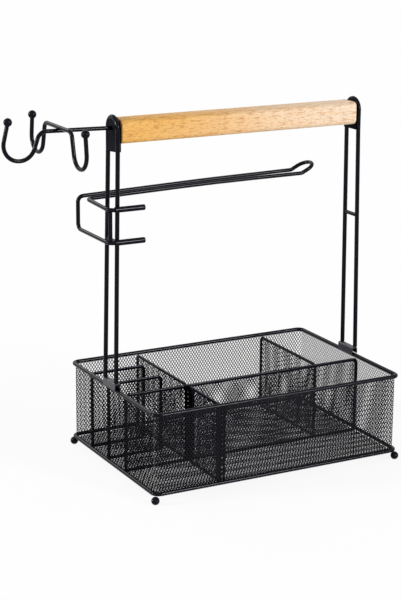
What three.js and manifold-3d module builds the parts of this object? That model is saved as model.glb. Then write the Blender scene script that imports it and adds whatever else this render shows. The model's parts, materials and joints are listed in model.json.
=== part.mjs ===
// Barbecue caddy: a divided mesh basket on ball feet, two wire leg frames with a wooden handle between
// them, a hook rack at the left end and a towel arm that pulls out of two sockets.
// Millimetres, +Z up. X runs along the handle with the hooks at -X, and the front of the basket is at -Y.
import * as THREE from "three";
import { mergeVertices } from "three/addons/utils/BufferGeometryUtils.js";
import Module from "manifold-3d";

// Fits
const GAP = 0.3; // between pieces that touch or are welded
const SLIDE_GAP = 0.35; // around a prong in its socket, at the narrowest

// Basket
const BASKET_LENGTH = 330; // between rim wire centres along X
const BASKET_DEPTH = 228; // between rim wire centres along Y
const RIM_HEIGHT = 107; // top rim wire centre above the ground
const RIM_WIRE = 4.5;
const RIM_CORNER = 8; // bend radius at the wire centre
const FOOT_BALL = 9.8;
const FOOT_FLAT = 0.25; // depth that the ground face cuts off the ball
const FOOT_INSET = 0.8; // from the corner of the rim wire centres, along X and along Y
const MESH_SHEET = 0.8;
const WALL_SETBACK = 0.25; // inner face of a mesh wall, outwards from the inner side of the rim wire
const FLOOR_INSET = 1.2; // edge of the mesh floor, inside the rim wire centre
const FLOOR_CORNER = 6;

// Open lattice of the mesh: cells are coarser than on a real basket, in the same proportion
const CELL_WIDTH = 32;
const CELL_HEIGHT = 44;
const FLOOR_CELL_SCALE = 1.7;
const STRAND = 3.2; // strand width across the diagonal
const MESH_BORDER = 1.6;

// Dividers
const HEM_WIDTH = 4;
const HEM_THICKNESS = 2.4;
const HEM_TOP_CORNER = 7;
const HEM_LOW_CORNER = 2;
const LONG_DIVIDER_FROM_BACK = 141.8; // to the rim wire centre, as are the next two
const LEFT_CROSS_FROM_LEFT = 87.1;
const RIGHT_CROSS_FROM_RIGHT = 63;
const SLOT_COUNT = 3; // behind the long divider, left of the left cross divider
const PARTITION_STOP = 9; // from a partition's free end to the left cross divider
const FLANGE_WIDTH = 6.5;
const FLANGED_STILE = 13; // upright edge of the hem next to a flange

// Leg frames and handle
const LEG_WIRE = 4.8;
const LEG_FOOT_SPACING = 29.2;
const LEG_TOP_SPACING = 25.8;
const LEG_FOOT_OUTSET = 1.5; // leg foot outside the rim wire centre
const LEG_TOP_INSET = 3; // leg top inside the rim wire centre
const ARCH_HEIGHT = 430; // wire centre at the top of the arch
const RUNG_WIRE = 4.2;
const RUNG_HEIGHT = 286.5;
const SADDLE_SHEET = 1.2;
const SADDLE_LENGTH = 32.6;
const SADDLE_RISE = 6; // free height over the rim wire
const SADDLE_SKIRT = 0.8; // inner side, below the rim wire centre
const SADDLE_FLARE = 0.6; // outer side, outwards
const SADDLE_FLARE_DROP = 8;
const PLATE_SHEET = 1.6;
const PLATE_DROP = 38; // from the top of the arch to the lower edge
const HANDLE_DEPTH = 31;
const HANDLE_HEIGHT = 27.4;
const HANDLE_DROP = 16.1; // handle centre below the top of the arch
const HANDLE_CORNER = 6;
const HANDLE_EASE = 1.4; // rounding of the two ends
const SCREW_SHANK = 4;
const SCREW_GRIP = 24; // length in the wood
const SCREW_HEAD = 9;
const SCREW_HEAD_HEIGHT = 2.8;
const SCREW_SOCKET = 3; // hexagon across the corners

// Hook rack
const HOOK_WIRE = 4.4;
const HOOK_BALL = 9.8;
const ROD_DROP = 11.5; // rod centre below the top of the arch
const ROD_GRIP = 28; // length in the wood
const ROD_REACH = 89.6; // from the leg top to the bend of the end hook
const ROD_BEND = 11;
const END_HOOK_WIDTH = 37.5;
const END_HOOK_DEPTH = 30.3;
const END_HOOK_BEND = 18.5;
const END_HOOK_LEAN = 10.9; // slope of the inner side, sideways
const END_HOOK_TIP_LEAN = 10.5; // slope of the outer side
const END_HOOK_RISE = 14; // ball centre above the rod
const DOUBLE_HOOK_REACH = 67.5; // from the leg top to the cross wire
const DOUBLE_HOOK_BRIDGE = 74; // between the two inner bends
const BRIDGE_BEND = 8;
const DOUBLE_HOOK_WIDTH = 33;
const DOUBLE_HOOK_DEPTH = 37.8;
const DOUBLE_HOOK_BEND = 17;
const DOUBLE_HOOK_LEAN = 9; // slope of the inner sides
const DOUBLE_HOOK_TIP_LEAN = 5; // slope of the outer sides
const DOUBLE_HOOK_RISE = 3.2; // ball centres above the cross wire

// Towel arm
const TOWEL_WIRE = 4.4;
const TOWEL_HEIGHT = 326.3; // upper prong and the start of the arm
const PRONG_SPACING = 38.6;
const SOCKET_WALL = 0.8;
const SOCKET_LENGTH = 37.6;
const SOCKET_OFFSET = 6; // socket mouth outside the leg centre
const SOCKET_END = 1.4; // thickness of the closed end
const SOCKET_EASE = 0.7; // bevel round the closed end
const PRONG_STOP = 2; // from a prong's end to the closed end
const RUN_STANDOFF = 7; // from the socket mouth to the runs
const NEAR_STRAND = 41.5; // behind the middle plane
const STRAND_SPACING = 26;
const NEAR_LIFT = 2; // near strand above the far one
const ARM_LENGTH = 291.5; // from the runs to the upward bend
const ARM_RISE = 7.5; // over that length
const TIP_REACH = 21;
const TIP_RISE = 9.5; // above the end of the arm
const ARM_BEND = 7;
const TIP_BEND = 18;

// Fineness of round shapes
const WIRE_SIDES = 10;
const BEND_STEP = THREE.MathUtils.degToRad(22.5);
const BALL_SIDES = 12;
const TUBE_SIDES = 16;

// Finishes
const BLACK_COAT = { color: 0x141416, roughness: 0.42, metalness: 0.15 };
const BEECH = { color: 0xe2b578, roughness: 0.55, metalness: 0 };

const solids = await Module();
solids.setup();
const whole = new THREE.Group();

function addGroup(parent, x, y, z) {
  const group = new THREE.Group();
  group.position.set(x, y, z);
  parent.add(group);
  return group;
}

function add(parent, name, geometry, finish = BLACK_COAT) {
  const mesh = new THREE.Mesh(geometry, new THREE.MeshStandardMaterial(finish));
  mesh.name = name;
  parent.add(mesh);
  return mesh;
}

// Radius at the corners of a polygon whose flats stay clear of a given radius
function cornerRadius(clear, sides) {
  return clear / Math.cos(Math.PI / sides);
}

function toSolid(geometry) {
  const plain = new THREE.BufferGeometry();
  const loose = geometry.index ? geometry.toNonIndexed() : geometry;
  plain.setAttribute("position", loose.getAttribute("position"));
  const merged = mergeVertices(plain, 1e-4);
  return new solids.Manifold(
    new solids.Mesh({
      numProp: 3,
      vertProperties: merged.attributes.position.array,
      triVerts: new Uint32Array(merged.index.array),
    }),
  );
}

function toGeometry(solid) {
  const mesh = solid.getMesh();
  const geometry = new THREE.BufferGeometry();
  geometry.setAttribute("position", new THREE.BufferAttribute(mesh.vertProperties, 3));
  geometry.setIndex(new THREE.BufferAttribute(mesh.triVerts, 1));
  return geometry;
}

// Turns the faces round if they point inwards
function outward(geometry) {
  const at = geometry.getAttribute("position");
  const index = geometry.index.array;
  const corner = [new THREE.Vector3(), new THREE.Vector3(), new THREE.Vector3()];
  let volume = 0;
  for (let i = 0; i < index.length; i += 3) {
    corner.forEach((v, k) => v.fromBufferAttribute(at, index[i + k]));
    volume += corner[0].dot(corner[1].cross(corner[2]));
  }
  if (volume < 0) {
    for (let i = 0; i < index.length; i += 3) {
      const kept = index[i + 1];
      index[i + 1] = index[i + 2];
      index[i + 2] = kept;
    }
  }
  return geometry;
}

// A body turned about the Z axis from [radius, height] pairs
function turned(profile, sides) {
  const points = profile.map(([radius, height]) => new THREE.Vector2(radius, height));
  const geometry = new THREE.LatheGeometry(points, sides);
  geometry.rotateX(Math.PI / 2);
  return outward(geometry);
}

function place([x, y, z]) {
  return new THREE.Vector3(x, y, z);
}

// Centre line of a bent wire from [x, y, z, bend radius] corners
function centreLine(corners, closed) {
  const line = [];
  const count = corners.length;
  corners.forEach((corner, i) => {
    const here = place(corner);
    const bend = corner[3] ?? 0;
    const isEnd = !closed && (i === 0 || i === count - 1);
    if (isEnd || bend === 0) {
      line.push(here);
      return;
    }
    const back = place(corners[(i + count - 1) % count]).sub(here).normalize();
    const onward = place(corners[(i + 1) % count]).sub(here).normalize();
    const half = back.angleTo(onward) / 2;
    const middle = back.clone().add(onward).normalize();
    const centre = here.clone().addScaledVector(middle, bend / Math.sin(half));
    const start = here.clone().addScaledVector(back, bend / Math.tan(half)).sub(centre);
    const axis = new THREE.Vector3().crossVectors(onward, back).normalize();
    const turn = Math.PI - 2 * half;
    const steps = Math.max(2, Math.ceil(turn / BEND_STEP));
    for (let s = 0; s <= steps; s += 1) {
      line.push(start.clone().applyAxisAngle(axis, (turn * s) / steps).add(centre));
    }
  });
  return line.filter((point, i) => i === 0 || point.distanceTo(line[i - 1]) > 0.05);
}

// A round wire along corners, with flat ends, or a ring in a level plane
function wire(corners, diameter, closed = false) {
  const line = centreLine(corners, closed);
  const count = line.length;
  const along = line.map((point, i) => {
    const before = closed ? line[(i + count - 1) % count] : line[Math.max(i - 1, 0)];
    const after = closed ? line[(i + 1) % count] : line[Math.min(i + 1, count - 1)];
    const arrive = point.clone().sub(before).normalize();
    const leave = after.clone().sub(point).normalize();
    return arrive.add(leave).normalize();
  });
  const side = new THREE.Vector3(0, 0, 1);
  if (Math.abs(along[0].z) > 0.9) side.set(1, 0, 0);
  side.addScaledVector(along[0], -side.dot(along[0])).normalize();
  const positions = [];
  line.forEach((point, i) => {
    if (i > 0) {
      const swing = new THREE.Quaternion().setFromUnitVectors(along[i - 1], along[i]);
      side.applyQuaternion(swing);
    }
    const other = new THREE.Vector3().crossVectors(along[i], side);
    for (let s = 0; s < WIRE_SIDES; s += 1) {
      const angle = (2 * Math.PI * (s + 0.5)) / WIRE_SIDES;
      const rim = point.clone();
      rim.addScaledVector(side, (Math.cos(angle) * diameter) / 2);
      rim.addScaledVector(other, (Math.sin(angle) * diameter) / 2);
      positions.push(rim.x, rim.y, rim.z);
    }
  });
  const index = [];
  const rings = closed ? count : count - 1;
  for (let i = 0; i < rings; i += 1) {
    const low = i * WIRE_SIDES;
    const high = ((i + 1) % count) * WIRE_SIDES;
    for (let s = 0; s < WIRE_SIDES; s += 1) {
      const next = (s + 1) % WIRE_SIDES;
      index.push(low + s, low + next, high + next, low + s, high + next, high + s);
    }
  }
  if (!closed) {
    const last = (count - 1) * WIRE_SIDES;
    for (let s = 1; s < WIRE_SIDES - 1; s += 1) {
      index.push(0, s + 1, s, last, last + s, last + s + 1);
    }
  }
  const geometry = new THREE.BufferGeometry();
  geometry.setAttribute("position", new THREE.Float32BufferAttribute(positions, 3));
  geometry.setIndex(index);
  return outward(geometry);
}

// Outline of a rectangle from the origin with rounded corners
function roundedRectangle(width, height, lowCorner, topCorner) {
  const shape = new THREE.Shape();
  shape.moveTo(lowCorner, 0);
  shape.lineTo(width - lowCorner, 0);
  shape.absarc(width - lowCorner, lowCorner, lowCorner, -Math.PI / 2, 0);
  shape.lineTo(width, height - topCorner);
  shape.absarc(width - topCorner, height - topCorner, topCorner, 0, Math.PI / 2);
  shape.lineTo(topCorner, height);
  shape.absarc(topCorner, height - topCorner, topCorner, Math.PI / 2, Math.PI);
  shape.lineTo(0, lowCorner);
  shape.absarc(lowCorner, lowCorner, lowCorner, Math.PI, 1.5 * Math.PI);
  return shape;
}

function circle(x, y, radius, sides) {
  const points = [];
  for (let s = 0; s < sides; s += 1) {
    const angle = (2 * Math.PI * s) / sides;
    points.push(new THREE.Vector2(x + radius * Math.cos(angle), y + radius * Math.sin(angle)));
  }
  return new THREE.Path(points);
}

// A flat sheet, its middle in the XY plane
function sheet(shape, thickness, curveSegments = 3) {
  const geometry = new THREE.ExtrudeGeometry(shape, { depth: thickness, bevelEnabled: false, curveSegments });
  geometry.translate(0, 0, -thickness / 2);
  return geometry;
}

// Turns that stand a flat sheet up: its height along Z and its width along X, or across along Y
const STAND_ALONG = new THREE.Euler(Math.PI / 2, 0, 0);
const STAND_ACROSS = new THREE.Euler(Math.PI / 2, 0, Math.PI / 2, "ZYX");
function stand(mesh, turn, x, y, z) {
  mesh.rotation.copy(turn);
  mesh.position.set(x, y, z);
}

// Cuts staggered diamonds, and halves of them at the edges, through a flat panel
function cutDiamonds(panel, width, height, cellWidth, cellHeight) {
  const columns = Math.max(1, Math.round((width - 2 * MESH_BORDER) / cellWidth));
  const rows = Math.max(1, Math.round((height - 2 * MESH_BORDER) / cellHeight));
  const stepX = (width - 2 * MESH_BORDER) / columns;
  const stepY = (height - 2 * MESH_BORDER) / rows;
  const halfX = (stepX - STRAND) / 2;
  const halfY = (stepY * halfX) / stepX;
  const holes = [];
  for (let i = 0; i <= 2 * columns; i += 1) {
    for (let j = i % 2; j <= 2 * rows; j += 2) {
      const atSide = i === 0 || i === 2 * columns;
      const atEnd = j === 0 || j === 2 * rows;
      if (atSide && atEnd) continue;
      const x = MESH_BORDER + (i * stepX) / 2;
      const y = MESH_BORDER + (j * stepY) / 2;
      const corners = [
        [x - halfX, y, i === 0],
        [x, y - halfY, j === 0],
        [x + halfX, y, i === 2 * columns],
        [x, y + halfY, j === 2 * rows],
      ];
      const kept = corners.filter((corner) => !corner[2]);
      const diamond = new THREE.Shape(kept.map(([u, v]) => new THREE.Vector2(u, v)));
      holes.push(toSolid(sheet(diamond, 3 * MESH_SHEET)));
    }
  }
  return toGeometry(toSolid(panel).subtract(solids.Manifold.union(holes)));
}

function meshPanel(width, height, lowCorner, topCorner, cellScale = 1) {
  const panel = sheet(roundedRectangle(width, height, lowCorner, topCorner), MESH_SHEET);
  return cutDiamonds(panel, width, height, CELL_WIDTH * cellScale, CELL_HEIGHT * cellScale);
}

// Shared places
const halfLength = BASKET_LENGTH / 2;
const halfDepth = BASKET_DEPTH / 2;
const footCentre = FOOT_BALL / 2 - FOOT_FLAT;
const baseHeight = footCentre + FOOT_BALL / 2 + GAP + RIM_WIRE / 2;
const rimClear = RIM_WIRE / 2 + GAP;
const wallFace = RIM_WIRE / 2 - WALL_SETBACK;
const wallMiddle = wallFace - MESH_SHEET / 2;
const wallLow = baseHeight + rimClear;
const floorTop = baseHeight - rimClear;

// Rims
const basket = addGroup(whole, 0, 0, 0);
for (const [name, height] of [["top_rim", RIM_HEIGHT], ["base_rim", baseHeight]]) {
  const corners = [
    [halfLength, -halfDepth, 0, RIM_CORNER],
    [halfLength, halfDepth, 0, RIM_CORNER],
    [-halfLength, halfDepth, 0, RIM_CORNER],
    [-halfLength, -halfDepth, 0, RIM_CORNER],
  ];
  add(basket, name, wire(corners, RIM_WIRE, true)).position.z = height;
}

// Mesh walls stand between the two rims, the side walls between the front and back ones
const wallHeight = RIM_HEIGHT - rimClear - wallLow;
const longWall = BASKET_LENGTH - 2 * wallMiddle + MESH_SHEET;
const sideWall = BASKET_DEPTH - 2 * wallFace - 2 * GAP;
for (const [name, side] of [["front_wall_mesh", -1], ["back_wall_mesh", 1]]) {
  const panel = add(basket, name, meshPanel(longWall, wallHeight, 0.4, 0.4));
  stand(panel, STAND_ALONG, -longWall / 2, side * (halfDepth - wallMiddle), wallLow);
}
for (const [name, side] of [["left_wall_mesh", -1], ["right_wall_mesh", 1]]) {
  const panel = add(basket, name, meshPanel(sideWall, wallHeight, 0.4, 0.4));
  stand(panel, STAND_ACROSS, side * (halfLength - wallMiddle), -sideWall / 2, wallLow);
}

// Mesh floor under the base rim
const floorLength = BASKET_LENGTH - 2 * FLOOR_INSET;
const floorDepth = BASKET_DEPTH - 2 * FLOOR_INSET;
const floorPanel = meshPanel(floorLength, floorDepth, FLOOR_CORNER, FLOOR_CORNER, FLOOR_CELL_SCALE);
const floor = add(basket, "floor_mesh", floorPanel);
floor.position.set(-floorLength / 2, -floorDepth / 2, floorTop - MESH_SHEET / 2);

// Ball feet under the corners of the base rim
function ballProfile(radius, lowest, highest, steps) {
  const profile = [[0, lowest]];
  const from = Math.asin(lowest / radius);
  const to = Math.asin(highest / radius);
  for (let s = 0; s <= steps; s += 1) {
    const angle = from + ((to - from) * s) / steps;
    profile.push([Math.max(radius * Math.cos(angle), 0), radius * Math.sin(angle)]);
  }
  return profile;
}
for (const [name, sideX, sideY] of [
  ["foot_front_left", -1, -1],
  ["foot_front_right", 1, -1],
  ["foot_back_left", -1, 1],
  ["foot_back_right", 1, 1],
]) {
  const ball = turned(ballProfile(FOOT_BALL / 2, -footCentre, FOOT_BALL / 2, 8), BALL_SIDES);
  const foot = add(basket, name, ball);
  foot.position.set(sideX * (halfLength - FOOT_INSET), sideY * (halfDepth - FOOT_INSET), footCentre);
}

// Hemmed dividers: an edge frame with a mesh sheet inside it, from the floor to the middle of the rim wire
const dividerLow = floorTop + GAP;
const dividerHeight = RIM_HEIGHT - dividerLow;
const dividers = addGroup(basket, 0, 0, dividerLow);
function hemFrame(width, height, stile) {
  const outline = roundedRectangle(width, height, HEM_LOW_CORNER, HEM_TOP_CORNER);
  const topInside = Math.max(HEM_TOP_CORNER - stile, 0.5);
  const inside = roundedRectangle(width - 2 * stile, height - 2 * HEM_WIDTH, 0.5, topInside);
  const corner = new THREE.Vector2(stile, HEM_WIDTH);
  outline.holes.push(new THREE.Path(inside.getPoints(3).map((point) => point.add(corner))));
  return sheet(outline, HEM_THICKNESS);
}
function hemMesh(width, height, stile) {
  const side = stile + GAP;
  const low = HEM_WIDTH + GAP;
  const corner = Math.max(HEM_TOP_CORNER - stile, 0.5);
  return meshPanel(width - 2 * side, height - 2 * low, 0.5, corner).translate(side, low, 0);
}
function addDivider(name, turn, length, x, y, stile = HEM_WIDTH) {
  stand(add(dividers, `${name}_hem`, hemFrame(length, dividerHeight, stile)), turn, x, y, 0);
  stand(add(dividers, `${name}_mesh`, hemMesh(length, dividerHeight, stile)), turn, x, y, 0);
}

const leftEnd = -halfLength + rimClear;
const backEnd = halfDepth - rimClear;
const longDividerY = halfDepth - LONG_DIVIDER_FROM_BACK;
const longDividerFace = HEM_THICKNESS / 2 + GAP;
addDivider("long_divider", STAND_ALONG, BASKET_LENGTH - 2 * rimClear, leftEnd, longDividerY);

const leftCrossX = -halfLength + LEFT_CROSS_FROM_LEFT;
const rightCrossX = halfLength - RIGHT_CROSS_FROM_RIGHT;
const crossStart = longDividerY + longDividerFace;
addDivider("left_cross", STAND_ACROSS, backEnd - crossStart, leftCrossX, crossStart);
addDivider("right_cross", STAND_ACROSS, backEnd - crossStart, rightCrossX, crossStart);

const frontEnd = -halfDepth + rimClear + MESH_SHEET + GAP;
const frontCrossEnd = longDividerY - longDividerFace - MESH_SHEET - GAP;
addDivider("front_cross", STAND_ACROSS, frontCrossEnd - frontEnd, leftCrossX, frontEnd, FLANGED_STILE);

// Its two flanges turn opposite ways: to the right along the front wall, to the left along the long divider
const flangeHem = HEM_THICKNESS / 2;
for (const [name, x, y] of [
  ["front_cross_wall_flange", -flangeHem, -halfDepth + rimClear + MESH_SHEET / 2],
  ["front_cross_divider_flange", flangeHem - FLANGE_WIDTH, longDividerY - longDividerFace - MESH_SHEET / 2],
]) {
  const strip = sheet(roundedRectangle(FLANGE_WIDTH, dividerHeight, 0.4, 2), MESH_SHEET, 1);
  stand(add(dividers, name, strip), STAND_ALONG, leftCrossX + x, y, 0);
}

const slotPitch = LONG_DIVIDER_FROM_BACK / SLOT_COUNT;
const partitionLength = leftCrossX - HEM_THICKNESS / 2 - PARTITION_STOP - leftEnd;
for (const [name, slot] of [["back_partition", 1], ["middle_partition", 2]]) {
  addDivider(name, STAND_ALONG, partitionLength, leftEnd, halfDepth - slotPitch * slot);
}

// Shared places of the two ends
const legTopX = halfLength - LEG_TOP_INSET;
const legFootX = halfLength + LEG_FOOT_OUTSET;
const saddleUnder = rimClear + SADDLE_RISE;
const legLow = RIM_HEIGHT + saddleUnder + SADDLE_SHEET + GAP;
const plateLow = ARCH_HEIGHT - PLATE_DROP;
const rodHeight = ARCH_HEIGHT - ROD_DROP;
const halfFoot = LEG_FOOT_SPACING / 2;
const halfTop = LEG_TOP_SPACING / 2;
const legClear = LEG_WIRE / 2 + GAP;
const plateOutside = legTopX - legClear;

// Leg frames lean in slightly, both ways, up to the end plates
function legLean(foot, top, height) {
  return foot + ((top - foot) * (height - legLow)) / (plateLow - legLow);
}
function legX(height) {
  return legLean(legFootX, legTopX, height);
}
function legY(height) {
  return legLean(halfFoot, halfTop, height);
}
function legFrame() {
  const front = [
    [legFootX, -halfFoot, legLow],
    [legTopX, -halfTop, plateLow],
    [legTopX, -halfTop, ARCH_HEIGHT, halfTop],
  ];
  const back = front.map(([x, y, z, bend]) => [x, -y, z, bend]).reverse();
  return wire([...front, ...back], LEG_WIRE);
}

// Saddle: folded sheet over the rim, upright inside, flared outside
function saddleShape() {
  const inner = rimClear;
  const outer = rimClear + SADDLE_SHEET;
  const top = saddleUnder + SADDLE_SHEET;
  const flareLow = top - SADDLE_FLARE_DROP;
  const shape = new THREE.Shape();
  shape.moveTo(-outer, -SADDLE_SKIRT);
  shape.lineTo(-inner, -SADDLE_SKIRT);
  shape.lineTo(-inner, saddleUnder);
  shape.lineTo(inner, saddleUnder);
  shape.lineTo(inner + SADDLE_FLARE, flareLow);
  shape.lineTo(outer + SADDLE_FLARE, flareLow);
  shape.lineTo(outer, top);
  shape.lineTo(-outer, top);
  return shape;
}

// End plate: between the arch and the handle's end, out to the middle of the wire, with one hole
function endPlate(fastener) {
  const shape = new THREE.Shape();
  shape.moveTo(-halfTop, 0);
  shape.lineTo(halfTop, 0);
  shape.absarc(0, PLATE_DROP - halfTop, halfTop, 0, Math.PI);
  shape.holes.push(circle(0, rodHeight - plateLow, cornerRadius(fastener / 2 + GAP, 12), 12));
  return sheet(shape, PLATE_SHEET, 12);
}

const rungEnd = legY(RUNG_HEIGHT) - legClear;

for (const [side, turn, fastener] of [["left", Math.PI, HOOK_WIRE], ["right", 0, SCREW_SHANK]]) {
  const end = addGroup(whole, 0, 0, 0);
  end.rotation.z = turn;
  add(end, `${side}_leg_frame`, legFrame());
  const rung = add(end, `${side}_rung`, wire([[0, -rungEnd, 0], [0, rungEnd, 0]], RUNG_WIRE));
  rung.position.set(legX(RUNG_HEIGHT), 0, RUNG_HEIGHT);
  const saddle = add(end, `${side}_saddle`, sheet(saddleShape(), SADDLE_LENGTH));
  stand(saddle, STAND_ALONG, halfLength, 0, RIM_HEIGHT);
  const plate = add(end, `${side}_end_plate`, endPlate(fastener));
  stand(plate, STAND_ACROSS, plateOutside - PLATE_SHEET / 2, 0, plateLow);
}

// Wooden handle between the end plates, bored at both ends
const handleHeight = ARCH_HEIGHT - HANDLE_DROP;
const handleEnd = plateOutside - PLATE_SHEET - GAP;
const handle = addGroup(whole, 0, 0, handleHeight);
function handleGeometry() {
  const inset = 2 * HANDLE_EASE;
  const corner = HANDLE_CORNER - HANDLE_EASE;
  const section = roundedRectangle(HANDLE_DEPTH - inset, HANDLE_HEIGHT - inset, corner, corner);
  const bar = new THREE.ExtrudeGeometry(section, {
    depth: 2 * (handleEnd - HANDLE_EASE),
    bevelThickness: HANDLE_EASE,
    bevelSize: HANDLE_EASE,
    bevelSegments: 2,
    curveSegments: 4,
  });
  bar.translate(-HANDLE_DEPTH / 2 + HANDLE_EASE, -HANDLE_HEIGHT / 2 + HANDLE_EASE, HANDLE_EASE - handleEnd);
  let solid = toSolid(bar);
  for (const [side, grip, diameter] of [[-1, ROD_GRIP, HOOK_WIRE], [1, SCREW_GRIP, SCREW_SHANK]]) {
    const radius = cornerRadius(diameter / 2 + GAP, 12);
    const bore = new THREE.CylinderGeometry(radius, radius, 2 * (grip + GAP), 12);
    bore.rotateX(Math.PI / 2);
    bore.translate(0, rodHeight - handleHeight, side * handleEnd);
    solid = solid.subtract(toSolid(bore));
  }
  return toGeometry(solid);
}
add(handle, "wood_handle", handleGeometry(), BEECH).rotation.copy(STAND_ACROSS);

// Screw through the right end plate into the handle
function screwGeometry() {
  const headUnder = plateOutside + GAP;
  const tip = handleEnd - SCREW_GRIP;
  const body = turned(
    [
      [0, tip],
      [SCREW_SHANK / 2 - 0.8, tip],
      [SCREW_SHANK / 2, tip + 1.6],
      [SCREW_SHANK / 2, headUnder],
      [SCREW_HEAD / 2, headUnder],
      [SCREW_HEAD / 2, headUnder + 0.4 * SCREW_HEAD_HEIGHT],
      [0.42 * SCREW_HEAD, headUnder + 0.75 * SCREW_HEAD_HEIGHT],
      [0.3 * SCREW_HEAD, headUnder + SCREW_HEAD_HEIGHT],
      [0, headUnder + SCREW_HEAD_HEIGHT],
    ],
    TUBE_SIDES,
  );
  const socket = new THREE.CylinderGeometry(SCREW_SOCKET / 2, SCREW_SOCKET / 2, SCREW_HEAD_HEIGHT, 6);
  socket.rotateX(Math.PI / 2);
  socket.translate(0, 0, headUnder + SCREW_HEAD_HEIGHT);
  return toGeometry(toSolid(body).subtract(toSolid(socket)));
}
const screw = add(handle, "handle_screw", screwGeometry());
screw.rotation.y = Math.PI / 2;
screw.position.z = rodHeight - handleHeight;

// A ball on the end of a hook wire, bored to its middle
const BALL_UP = new THREE.Vector3(0, 0, 1);
function addBall(parent, name, corners) {
  const end = place(corners[corners.length - 1]);
  const from = place(corners[corners.length - 2]);
  const radius = HOOK_BALL / 2;
  const bore = cornerRadius(HOOK_WIRE / 2 + GAP, BALL_SIDES);
  const mouth = -Math.sqrt(radius * radius - bore * bore);
  const outside = ballProfile(radius, mouth, radius, 8).slice(1);
  const ball = add(parent, name, turned([[0, GAP], [bore, GAP], ...outside], BALL_SIDES));
  ball.quaternion.setFromUnitVectors(BALL_UP, end.clone().sub(from).normalize());
  ball.position.copy(end);
}

// Hook rod: out of the handle to the left, then a hook in the upright plane along X
const hooks = addGroup(whole, -legTopX, 0, rodHeight);
const endHookInner = -ROD_REACH - END_HOOK_LEAN;
const endHookOuter = endHookInner - END_HOOK_WIDTH;
const rodCorners = [
  [legTopX - handleEnd + ROD_GRIP, 0, 0],
  [-ROD_REACH, 0, 0, ROD_BEND],
  [endHookInner, 0, -END_HOOK_DEPTH, END_HOOK_BEND],
  [endHookOuter, 0, -END_HOOK_DEPTH, END_HOOK_BEND],
  [endHookOuter + END_HOOK_TIP_LEAN, 0, END_HOOK_RISE],
];
add(hooks, "hook_rod", wire(rodCorners, HOOK_WIRE));
addBall(hooks, "hook_rod_ball", rodCorners);

// Double hook: a cross wire lying on the rod, with a hook to the front and one to the back
const doubleHook = addGroup(hooks, -DOUBLE_HOOK_REACH, 0, HOOK_WIRE + GAP);
const innerY = DOUBLE_HOOK_BRIDGE / 2;
const innerLowY = innerY + DOUBLE_HOOK_LEAN;
const outerLowY = innerLowY + DOUBLE_HOOK_WIDTH;
function halfHook(side) {
  return [
    [0, side * innerY, 0, BRIDGE_BEND],
    [0, side * innerLowY, -DOUBLE_HOOK_DEPTH, DOUBLE_HOOK_BEND],
    [0, side * outerLowY, -DOUBLE_HOOK_DEPTH, DOUBLE_HOOK_BEND],
    [0, side * (outerLowY - DOUBLE_HOOK_TIP_LEAN), DOUBLE_HOOK_RISE],
  ];
}
const frontHook = halfHook(-1);
const backHook = halfHook(1);
add(doubleHook, "double_hook", wire([...frontHook.slice().reverse(), ...backHook], HOOK_WIRE));
addBall(doubleHook, "front_hook_ball", frontHook);
addBall(doubleHook, "back_hook_ball", backHook);

// Sockets for the towel arm, closed at the inner end, on the front of the left front leg
const socketBore = cornerRadius(TOWEL_WIRE / 2 + SLIDE_GAP, TUBE_SIDES);
const socketOutside = socketBore + SOCKET_WALL;
const prongY = -legY(TOWEL_HEIGHT - PRONG_SPACING) - legClear - socketOutside;
const socketInside = SOCKET_LENGTH - SOCKET_END;
const towel = addGroup(whole, -legX(TOWEL_HEIGHT) - SOCKET_OFFSET, 0, TOWEL_HEIGHT);
for (const [name, height] of [["upper_socket", 0], ["lower_socket", -PRONG_SPACING]]) {
  const tube = turned(
    [
      [0, socketInside],
      [socketBore, socketInside],
      [socketBore, 0],
      [socketOutside, 0],
      [socketOutside, SOCKET_LENGTH - SOCKET_EASE],
      [socketOutside - SOCKET_EASE, SOCKET_LENGTH],
      [0, SOCKET_LENGTH],
    ],
    TUBE_SIDES,
  );
  const socket = add(towel, name, tube);
  socket.rotation.y = Math.PI / 2;
  socket.position.set(0, prongY, height);
}

// Towel arm: lower prong, lower run, far strand, raised tip, near strand, upper run, upper prong
const prongEnd = socketInside - PRONG_STOP;
const farStrand = NEAR_STRAND + STRAND_SPACING;
const tipStart = ARM_LENGTH - RUN_STANDOFF;
const tipX = tipStart + TIP_REACH;
const tipHeight = ARM_RISE + TIP_RISE;
const tipCorner = STRAND_SPACING / 2;
const armCorners = [
  [prongEnd, prongY, -PRONG_SPACING],
  [-RUN_STANDOFF, prongY, -PRONG_SPACING, ARM_BEND],
  [-RUN_STANDOFF, farStrand, -PRONG_SPACING, ARM_BEND],
  [-RUN_STANDOFF, farStrand, 0, ARM_BEND],
  [tipStart, farStrand, ARM_RISE, TIP_BEND],
  [tipX, farStrand, tipHeight, tipCorner],
  [tipX, NEAR_STRAND, tipHeight, tipCorner],
  [tipStart, NEAR_STRAND, ARM_RISE + NEAR_LIFT, TIP_BEND],
  [-RUN_STANDOFF, NEAR_STRAND, NEAR_LIFT, ARM_BEND],
  [-RUN_STANDOFF, prongY, 0, ARM_BEND],
  [prongEnd, prongY, 0],
];
add(towel, "towel_arm_wire", wire(armCorners, TOWEL_WIRE));

// Tie bar between the middles of the two front bends
const bendPull = ARM_BEND * (1 - Math.SQRT1_2);
const tieClear = TOWEL_WIRE / 2 + GAP;
const tieBar = wire([[0, 0, tieClear - PRONG_SPACING], [0, 0, -tieClear]], TOWEL_WIRE);
add(towel, "towel_tie_bar", tieBar).position.set(bendPull - RUN_STANDOFF, prongY + bendPull, 0);

// The frame's origin is under the middle of the whole object
const middle = new THREE.Box3().setFromObject(whole).getCenter(new THREE.Vector3());
whole.position.set(-middle.x, -middle.y, 0);
const caddy = new THREE.Group();
caddy.add(whole);

export default caddy;
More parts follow.
